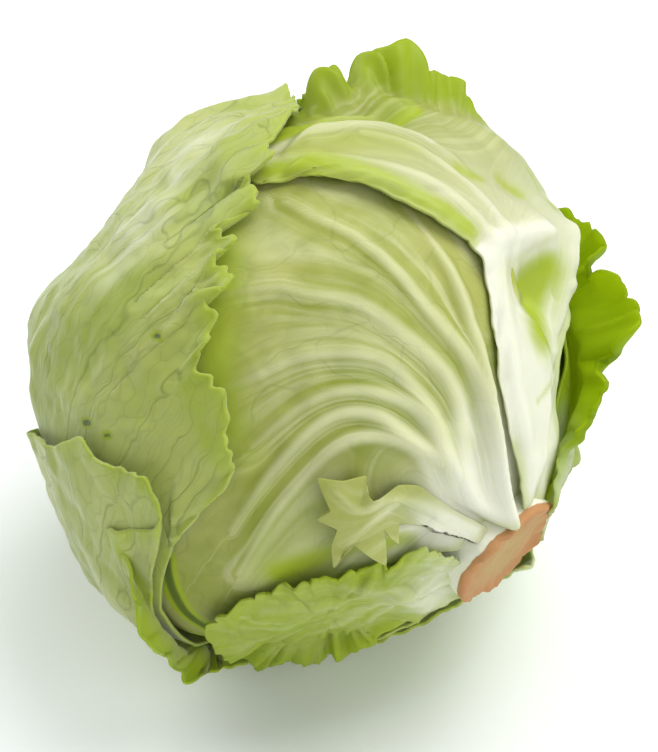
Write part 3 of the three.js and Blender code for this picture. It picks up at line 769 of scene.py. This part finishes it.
class Finish:
    """A material that is being put together from nodes."""

    def __init__(self, name):
        self.material = bpy.data.materials.new(name)
        self.material.use_nodes = True
        self.tree = self.material.node_tree
        self.tree.nodes.clear()

    def node(self, kind, settings=None, output=0, **values):
        """Adds a node with its settings, then its sockets' values. Returns one of its outputs.

        A socket is given by its name, or as i and its number where names repeat.
        """
        node = self.tree.nodes.new("ShaderNode" + kind)
        for key, value in (settings or {}).items():
            setattr(node, key, value)
        for key, value in values.items():
            socket = node.inputs[int(key[1:])] if key[1:].isdigit() else node.inputs[key.replace("_", " ")]
            plug(self.tree, socket, value)
        return Value(self.tree, node.outputs[output])

    def ramp(self, value, low, high):
        """0 at low and 1 at high, with a smooth rise between."""
        return self.node("MapRange", {"interpolation_type": "SMOOTHSTEP"},
                         Value=value, From_Min=low, From_Max=high)

    def blend(self, share, first, second):
        """A mix of two colours."""
        return self.node("Mix", {"data_type": "RGBA"}, output=2, i0=share, i6=first, i7=second)

    def attribute(self, name):
        """A value of the vertices."""
        return self.node("Attribute", {"attribute_name": name}, output=2)

    def place(self):
        """Object coordinates."""
        return self.node("TexCoord", output=3)

    def scaled(self, vector, factors):
        """A vector with its parts stretched by the factors."""
        return self.node("VectorMath", {"operation": "MULTIPLY"}, i0=vector, i1=factors)

    def speckle(self, vector, scale, detail=2.0):
        """Noise from 0 to 1."""
        return self.node("TexNoise", Vector=vector, Scale=scale, Detail=detail)

    def crack(self, vector, scale, width):
        """1 on the lines of a net and 0 away from them."""
        cells = self.node("TexVoronoi", {"feature": "DISTANCE_TO_EDGE", "voronoi_dimensions": "2D"},
                          Vector=vector, Scale=scale)
        return 1 - self.ramp(cells, 0.0, width)

    def finish(self, shader):
        """Ends the material in its shader."""
        output = self.tree.nodes.new("ShaderNodeOutputMaterial")
        self.tree.links.new(shader.socket, output.inputs["Surface"])
        return self.material


def opaque(*colours):
    """The colours with an alpha of 1, as sockets take them."""
    return [(*colour, 1.0) for colour in colours]


# The patterns of a leaf's skin. Clouds, the wobble of the veins and pores are in waves a metre. Streaks
# and veins are stretched (across, along) the grain, and the nets of veins are (scale, width of a line).
CLOUDS = 26.0
WOBBLE = 70.0
WOBBLE_REACH = (14.0, 14.0, 0.0)
PORES = 900.0
STREAK_STRETCH = (0.32, 0.02, 1.0)
VEIN_STRETCH = (0.085, 0.05, 1.0)
VEIN_NET = (1.0, 0.045)
VEINLET_NET = (3.3, 0.09)
STEM_CLOUDS = 120.0
FIBRE_STRETCH = (700.0, 180.0, 180.0)


def leaf_finish(name, colours, net, glow, white_from, rib_tint, streaks, roughness=0.42, bloom=0.0):
    """A leaf's skin: a mottled blade that pales at its ribs and its base, with a net of fine veins."""
    f = Finish(name)
    blade, deep, pale, white, edge, dark, lit = opaque(*colours)
    rib, inland, down, tint_and_painted_light, frill = (f.attribute(key) for key in LEAF_VALUES)
    place = f.place()
    cloud = f.speckle(place, CLOUDS, 3.0)
    grain = f.node("UVMap", {"uv_map": "grain"})
    streak = f.speckle(f.scaled(grain, STREAK_STRETCH), 1.0, 4.0)
    wobble = f.node("TexNoise", output=1, Vector=place, Scale=WOBBLE, Detail=2.0)
    warped = f.node("VectorMath", {"operation": "MULTIPLY_ADD"}, i0=wobble, i1=WOBBLE_REACH, i2=grain)
    stretched = f.scaled(warped, VEIN_STRETCH)
    vein = f.crack(stretched, *VEIN_NET)
    veinlet = f.crack(stretched, *VEINLET_NET)

    # The blade in two tones, with pale streaks, its sunken veins and its ribs.
    colour = f.blend(f.ramp(cloud, 0.34, 0.66), deep, blade)
    colour = f.blend(f.ramp(streak, 0.42, 0.72) * streaks, colour, pale)
    colour = f.blend((vein * 0.9 + veinlet * 0.4) * net, colour, dark)
    colour = f.blend(f.ramp(rib, 0.2, 1.0) * rib_tint, colour, pale)
    # The white of the base and the colour of the edge, both with a ragged border.
    from_base = down + (cloud - 0.5) * 40 + (streak - 0.5) * 30
    base = 1 - f.ramp(from_base, white_from * 0.35, white_from)
    colour = f.blend(base * 0.92, colour, white)
    # The white of the base and the colour of the edge, both with a ragged border. At the rim the edge's
    # colour is partly the margin's own greener colour and partly painted light shining through the thin
    # edge, and on the frills it is painted light shining through them.
    rim = 1 - f.ramp(inland, 0.5, 6.0)
    colour = f.blend(rim * 0.45 + frill * 0.75, colour, edge)
    # The leaf's tints: marks of its own colour, and also painted shade in creases and gaps and a painted
    # highlight.
    mottle = (cloud - 0.5) * 0.4 + (streak - 0.5) * 0.7
    colour = f.blend(f.ramp(tint_and_painted_light + mottle, 0.1, 0.9), colour, edge)
    colour = f.blend(f.ramp(mottle - tint_and_painted_light, 0.1, 0.8), colour, white)
    colour = f.blend(f.ramp(tint_and_painted_light + mottle, 1.1, 1.9), colour, dark)

    # The skin, and the light that comes through it.
    relief = streak * 0.35 + cloud * 0.3 - vein * (0.6 * net) - veinlet * (0.25 * net)
    normal = f.node("Bump", Strength=0.5, Distance=0.0007, Height=relief)
    gloss = f.ramp(f.speckle(place, PORES), 0.0, 1.0) * 0.12 + roughness
    skin = f.node(
        "BsdfPrincipled", {"subsurface_method": "RANDOM_WALK"}, Base_Color=colour, Roughness=gloss,
        Normal=normal, Subsurface_Weight=0.2, Subsurface_Radius=(1.0, 1.2, 0.3),
        Subsurface_Scale=0.0012, Specular_IOR_Level=0.3, Sheen_Weight=bloom, Sheen_Roughness=0.4)
    through = f.node("BsdfTranslucent", Color=lit)
    return f.finish(f.node("MixShader", Fac=glow + frill * 0.3, i1=skin, i2=through))


def stem_finish(cut, rim, flank):
    """The stem: a pale green-white flank and a dried, browned cut with fibres."""
    f = Finish("cut_stem")
    cut, rim, flank = opaque(cut, rim, flank)
    place = f.place()
    cloud = f.speckle(place, STEM_CLOUDS, 4.0)
    fibres = f.speckle(f.scaled(place, FIBRE_STRETCH), 1.0, 4.0)
    brown = f.blend(f.ramp(f.attribute("out") + cloud * 0.8 + fibres * 0.5, 0.9, 1.6), cut, rim)
    colour = f.blend(f.ramp(f.attribute("cut") + (cloud - 0.5) * 0.5, 0.35, 0.7), flank, brown)
    normal = f.node("Bump", Strength=0.6, Distance=0.0008, Height=fibres + cloud)
    return f.finish(f.node(
        "BsdfPrincipled", Base_Color=colour, Roughness=0.7 + 0.15 * fibres, Normal=normal,
        Subsurface_Weight=0.15, Subsurface_Radius=(1.0, 0.8, 0.4), Subsurface_Scale=0.001))


def stage_finish(colour):
    """The floor: a matt white with the faintest clouds."""
    f = Finish("stage_white")
    clear, clouded = opaque(colour, [0.985 * part for part in colour])
    shade = f.blend(f.speckle(f.place(), 3.0) * 0.3, clear, clouded)
    return f.finish(f.node("BsdfPrincipled", Base_Color=shade, Roughness=0.6))


class LettuceSizes(bpy.types.PropertyGroup):
    """The sizes that a user can change"""
    blade: FloatProperty(
        name="Blade thickness", description="Thickness of a leaf in millimetres",
        default=0.8, min=0.6, max=1.2)
    stem_sides: IntProperty(
        name="Stem sides", description="Points round the stem", default=160, min=24, max=400)
    camera_distance: FloatProperty(
        name="Camera distance", description="From the head's middle to the camera", default=0.5536,
        subtype="DISTANCE", unit="LENGTH")


def colour_property(name, description, default):
    """A colour from 0 to 1 in each of its three parts."""
    return FloatVectorProperty(
        name=name, description=description, default=default, subtype="COLOR", size=3, min=0, max=1)


class LettuceColours(bpy.types.PropertyGroup):
    """The colours that a user can change"""
    wrapper: colour_property("Outer leaf", "Matt outer leaves", (0.50, 0.55, 0.155))
    wrapper_deep: colour_property("Outer leaf, deep", "Darker patches of outer leaves", (0.37, 0.45, 0.075))
    bright: colour_property("Bright leaf", "Frilled bright leaves", (0.40, 0.50, 0.03))
    bright_deep: colour_property("Bright leaf, deep", "Frills and thin edges", (0.34, 0.46, 0.008))
    ribbed: colour_property("Ribbed leaf", "Blade of the pale inner leaves", (0.42, 0.44, 0.115))
    ribbed_deep: colour_property("Ribbed leaf, deep", "Green patches of pale leaves", (0.265, 0.315, 0.03))
    pale: colour_property("Rib", "Ribs and veins", (0.74, 0.75, 0.46))
    white: colour_property("Leaf base", "The white bases of the leaves", (0.86, 0.86, 0.72))
    # Besides the veins, this dark colour paints shade into creases and gaps through the leaves' tints.
    vein: colour_property("Vein", "Fine sunken veins", (0.12, 0.17, 0.03))
    lit: colour_property("Lit through", "Light that comes through a leaf", (0.62, 0.74, 0.06))
    cut: colour_property("Stem cut", "Middle of the cut", (0.45, 0.30, 0.11))
    cut_rim: colour_property("Stem rim", "Rim of the cut", (0.48, 0.235, 0.09))
    stage: colour_property("Stage", "The plain floor", (0.915, 0.95, 0.95))


def sizes():
    """The scene's sizes."""
    return bpy.context.scene.lettuce_sizes


def colours():
    """The scene's colours."""
    return bpy.context.scene.lettuce_colours


# The finishes of the leaves. Tones are the blade's colour, its deeper one and its edge's. The rest is how
# far the vein net, light from behind, the ribs' paleness, streaks and a dull bloom show, and how many
# degrees down the white of the base reaches.
LEAF_FINISHES = {
    "wrapper_leaf": dict(
        slot="wrapper_leaf", tones=("wrapper", "wrapper_deep", "bright"),
        net=0.42, glow=0.14, white_from=24.0, rib_tint=0.15, streaks=0.15, bloom=0.5),
    "bright_leaf": dict(
        slot="bright_leaf", tones=("bright", "bright_deep", "bright_deep"),
        net=0.3, glow=0.4, white_from=34.0, rib_tint=0.4, streaks=0.15),
    "bottom_leaf": dict(
        slot="bright_leaf", tones=("wrapper_deep", "bright_deep", "bright"),
        net=0.2, glow=0.2, white_from=30.0, rib_tint=0.4, streaks=0.35),
    "ribbed_leaf": dict(
        slot="ribbed_leaf", tones=("ribbed", "ribbed_deep", "bright"),
        net=0.16, glow=0.12, white_from=43.0, rib_tint=0.9, streaks=0.5),
    "top_leaf": dict(
        slot="ribbed_leaf", tones=("ribbed", "ribbed_deep", "bright"),
        net=0.08, glow=0.16, white_from=108.0, rib_tint=0.7, streaks=0.5, roughness=0.38),
    "torn_leaf": dict(
        slot="ribbed_leaf", tones=("ribbed", "ribbed_deep", "ribbed"),
        net=0.1, glow=0.15, white_from=36.0, rib_tint=0.5, streaks=0.5),
}


def finish_for(kind):
    """The finish of a kind of leaf, made once."""
    name = kind + "_skin"
    made = bpy.data.materials.get(name)
    if made:
        return made
    c = colours()
    amounts = {key: value for key, value in LEAF_FINISHES[kind].items() if key not in ("slot", "tones")}
    blade, deep, edge = (getattr(c, tone) for tone in LEAF_FINISHES[kind]["tones"])
    return leaf_finish(name, (blade, deep, c.pale, c.white, edge, c.vein, c.lit), **amounts)


def grow(names):
    """Makes the leaves of these names."""
    for leaf in LEAVES:
        if leaf.name in names:
            make_leaf(leaf, finish_for(leaf.finish), sizes().blade)


class PieceOperator:
    """What the operators share."""
    bl_options = {"REGISTER", "UNDO"}


class LETTUCE_OT_heart(PieceOperator, bpy.types.Operator):
    """Grow the tight heart under the leaves"""
    bl_idname = "lettuce.heart"
    bl_label = "Heart"

    def execute(self, context):
        bm = bmesh.new()
        around, upwards = HEART_SEGMENTS
        bmesh.ops.create_uvsphere(bm, u_segments=around, v_segments=upwards, radius=1)
        directions = np.array([v.co.normalized() for v in bm.verts]) @ AXES
        down = np.arccos(np.clip(directions @ AXES[2], -1, 1))
        across = np.arctan2(directions @ AXES[1], directions @ AXES[0])
        ridge = np.abs(np.sin(RIDGE_PAIRS * (across + down))) * np.sin(down) ** 2
        hollow = 1 - smooth(np.degrees(down), *ROOT_SIDE)
        pucker = ripples(directions * SPREAD_RADIUS, HEART_PUCKER_SIZE, seed=31)
        radius = (head_radius(directions) - RIDGE_DEPTH * ridge + HEART_PUCKER * pucker
                  - ROOT_HOLLOW * hollow)
        outside = layers_of(LEAVES, directions)
        places = rest_on_surface(directions * radius[:, None], outside, 0) + HEAD_CENTRE
        for vertex, place in zip(bm.verts, places):
            vertex.co = place * MM
        plain = np.zeros(len(places))
        give_values(bm, dict(
            rib=plain, inland=plain + HEART_INLAND, down=np.degrees(down), tint_and_painted_light=plain, frill=plain))
        lay_grain(bm, HEART_GRAIN * across, SPREAD_RADIUS * down)
        put_in_scene("heart_ball", bm, "heart", finish_for("ribbed_leaf"))
        return {"FINISHED"}


class LETTUCE_OT_stem(PieceOperator, bpy.types.Operator):
    """Cut the stem: a short uneven stump with a browned cut face"""
    bl_idname = "lettuce.stem"
    bl_label = "Stem"

    def execute(self, context):
        bm = bmesh.new()
        verts = [bm.verts.new((share * STEM_RADIUS, 0, STEM_CUT + drop)) for share, drop in STEM_PROFILE]
        edges = [bm.edges.new(pair) for pair in zip(verts, verts[1:])]
        bmesh.ops.spin(bm, geom=verts + edges, cent=(0, 0, 0), axis=(0, 0, 1), angle=2 * math.pi,
                       steps=sizes().stem_sides, use_merge=True)
        bmesh.ops.remove_doubles(bm, verts=bm.verts, dist=1e-4)
        bmesh.ops.holes_fill(bm, edges=[e for e in bm.edges if e.is_boundary], sides=0)
        bmesh.ops.recalc_face_normals(bm, faces=bm.faces)
        long_edges = [e for e in bm.edges if e.calc_length() > LONG_EDGE]
        bmesh.ops.subdivide_edges(bm, edges=long_edges, cuts=2, use_grid_fill=True)
        cut, out = bm.verts.layers.float.new("cut"), bm.verts.layers.float.new("out")
        raw = np.array([v.co for v in bm.verts])
        angle = np.arctan2(raw[:, 1], raw[:, 0])
        reach = np.hypot(raw[:, 0], raw[:, 1]) / STEM_RADIUS
        below_cut = STEM_CUT - raw[:, 2]
        facing = 1 - smooth(below_cut, *CUT_END)
        rag = ripples(raw, RAG_SIZE, seed=2) * 0.5
        uneven = 1 - 0.03 * (1 + np.sin(3 * angle + 1)) - 0.015 * (1 + np.sin(7 * angle)) + 0.012 * rag
        waves = smooth(reach, 0.4, 1.0) * RIM_WAVE * (0.5 + 0.5 * np.sin(5 * angle + 2))
        middle, more_at_rim = SHRED_HEIGHTS
        shreds = (middle + more_at_rim * smooth(reach, 0.6, 0.95)) * np.minimum(rag, 0.1) * facing
        raw[:, :2] *= np.minimum(uneven, 1)[:, None]
        raw[:, 2] += shreds - waves * (1 - smooth(below_cut, *WAVE_END))
        slope = CUT_SLOPE * reach * STEM_RADIUS * np.cos(angle - math.radians(CUT_LEAN))
        raw[:, 2] += (1 - smooth(STEM_CUT - raw[:, 2], *LEAN_END)) * slope
        places = raw @ AXES + HEAD_CENTRE
        for vertex, place, on_cut, share in zip(bm.verts, places, facing, reach):
            vertex.co = place * MM
            vertex[cut] = on_cut
            vertex[out] = share
        c = colours()
        put_in_scene("stem_stump", bm, "stem", stem_finish(c.cut, c.cut_rim, c.white))
        return {"FINISHED"}


class LETTUCE_OT_pale_leaves(PieceOperator, bpy.types.Operator):
    """Grow the pale ribbed leaf and the torn leaf beside the stem"""
    bl_idname = "lettuce.pale_leaves"
    bl_label = "Pale leaves"

    def execute(self, context):
        grow(("ribbed_leaf", "torn_leaf"))
        return {"FINISHED"}


class LETTUCE_OT_top_leaf(PieceOperator, bpy.types.Operator):
    """Grow the leaf that folds over the top, with its thick white base and its frill"""
    bl_idname = "lettuce.top_leaf"
    bl_label = "Top leaf"

    def execute(self, context):
        grow(("top_leaf",))
        return {"FINISHED"}


class LETTUCE_OT_bright_leaves(PieceOperator, bpy.types.Operator):
    """Grow the bright leaves with frilled edges"""
    bl_idname = "lettuce.bright_leaves"
    bl_label = "Bright leaves"

    def execute(self, context):
        grow(("crown_leaf", "right_leaf", "bottom_leaf"))
        return {"FINISHED"}


class LETTUCE_OT_wrapper_leaves(PieceOperator, bpy.types.Operator):
    """Grow the matt outer leaves"""
    bl_idname = "lettuce.wrapper_leaves"
    bl_label = "Wrapper leaves"

    def execute(self, context):
        grow(("inner_back_leaf", "cap_leaf", "lower_left_leaf", "under_leaf"))
        return {"FINISHED"}


def add_light(name, place, target, size, energy, colour):
    """A square soft light that faces its target."""
    data = bpy.data.lights.new(name, "AREA")
    data.size, data.energy, data.color = size, energy, colour
    light = bpy.data.objects.new(name, data)
    light.location = place
    light.rotation_euler = (Vector(target) - Vector(place)).to_track_quat("-Z", "Y").to_euler()
    bpy.context.scene.collection.objects.link(light)


class LETTUCE_OT_stage(PieceOperator, bpy.types.Operator):
    """Set the floor, the lights and the camera at the photograph's angle"""
    bl_idname = "lettuce.stage"
    bl_label = "Stage"

    AZIMUTH, ELEVATION = -41.8, 38.0
    LENS, SENSOR = 100.0, 36.0
    HEAD_PIXEL = (315, 372)
    MM_PER_PIXEL = 0.265
    FLOOR_SIZE = 4.0

    # Each light: (to the right, away from the camera, up) from the head's middle, size, power, colour.
    LIGHTS = {
        "key_light": ((0.45, 0.2, 1.0), 0.9, 12.0, (1.0, 0.995, 0.98)),
        "back_light": ((-0.9, 0.65, 0.75), 0.8, 9.5, (1.0, 1.0, 1.0)),
        "fill_light": ((0.55, -0.95, 0.55), 0.9, 6.0, (1.0, 1.0, 1.0)),
    }
    ROOM_COLOUR = (0.96, 1.0, 1.0, 1.0)
    ROOM_STRENGTH = 0.34

    def execute(self, context):
        bm = bmesh.new()
        bmesh.ops.create_grid(bm, x_segments=8, y_segments=8, size=self.FLOOR_SIZE)
        mesh = bpy.data.meshes.new("floor")
        bm.to_mesh(mesh)
        bm.free()
        floor = bpy.data.objects.new("floor", mesh)
        mesh.materials.append(stage_finish(colours().stage))
        context.scene.collection.objects.link(floor)
        floor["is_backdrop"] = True

        azimuth, elevation = math.radians(self.AZIMUTH), math.radians(self.ELEVATION)
        back = Vector((math.sin(azimuth) * math.cos(elevation), -math.cos(azimuth) * math.cos(elevation),
                       math.sin(elevation)))
        right = Vector((math.cos(azimuth), math.sin(azimuth), 0))
        up = back.cross(right)
        middle = Vector(HEAD_CENTRE) * MM
        shift_right = (IMAGE_SIZE[0] / 2 - self.HEAD_PIXEL[0]) * self.MM_PER_PIXEL * MM
        shift_up = (self.HEAD_PIXEL[1] - IMAGE_SIZE[1] / 2) * self.MM_PER_PIXEL * MM
        data = bpy.data.cameras.new("camera")
        data.lens, data.sensor_width, data.sensor_fit = self.LENS, self.SENSOR, "AUTO"
        data.dof.use_dof = False
        camera = bpy.data.objects.new("camera", data)
        camera.location = middle + back * sizes().camera_distance + right * shift_right + up * shift_up
        camera.rotation_euler = (-back).to_track_quat("-Z", "Y").to_euler()
        context.scene.collection.objects.link(camera)
        context.scene.camera = camera

        forward = Vector((-back.x, -back.y, 0)).normalized()
        for name, ((to_right, ahead, above), size, power, colour) in self.LIGHTS.items():
            place = middle + right * to_right + forward * ahead + Vector((0, 0, above))
            add_light(name, place, middle, size, power, colour)

        world = bpy.data.worlds.new("white_room")
        world.use_nodes = True
        sky = world.node_tree.nodes["Background"]
        sky.inputs["Color"].default_value = self.ROOM_COLOUR
        sky.inputs["Strength"].default_value = self.ROOM_STRENGTH
        context.scene.world = world
        context.scene.view_settings.view_transform = "Standard"
        return {"FINISHED"}


OPERATORS = (
    LETTUCE_OT_stage, LETTUCE_OT_heart, LETTUCE_OT_stem, LETTUCE_OT_pale_leaves, LETTUCE_OT_top_leaf,
    LETTUCE_OT_bright_leaves, LETTUCE_OT_wrapper_leaves,
)


class LETTUCE_PT_panel(bpy.types.Panel):
    """Lists the pieces of the head and their sizes and colours"""
    bl_idname = "LETTUCE_PT_panel"
    bl_label = "Lettuce"
    bl_space_type = "VIEW_3D"
    bl_region_type = "UI"
    bl_category = "Lettuce"

    def draw(self, context):
        for group in (context.scene.lettuce_sizes, context.scene.lettuce_colours):
            for key in group.bl_rna.properties.keys():
                if key not in ("rna_type", "name"):
                    self.layout.prop(group, key)
        for operator in OPERATORS:
            self.layout.operator(operator.bl_idname)


CLASSES = (LettuceSizes, LettuceColours, *OPERATORS, LETTUCE_PT_panel)


def register():
    for cls in CLASSES:
        bpy.utils.register_class(cls)
    bpy.types.Scene.lettuce_sizes = PointerProperty(type=LettuceSizes)
    bpy.types.Scene.lettuce_colours = PointerProperty(type=LettuceColours)


def unregister():
    del bpy.types.Scene.lettuce_colours
    del bpy.types.Scene.lettuce_sizes
    for cls in reversed(CLASSES):
        bpy.utils.unregister_class(cls)


def main():
    """Builds the whole scene."""
    register()
    for operator in OPERATORS:
        group, name = operator.bl_idname.split(".")
        getattr(getattr(bpy.ops, group), name)()
    boxes = {"cad": CAD_BOX, "visual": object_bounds()}
    boxes = {name: [list(corner) for corner in box] for name, box in boxes.items()}


if __name__ == "__main__":
    main()
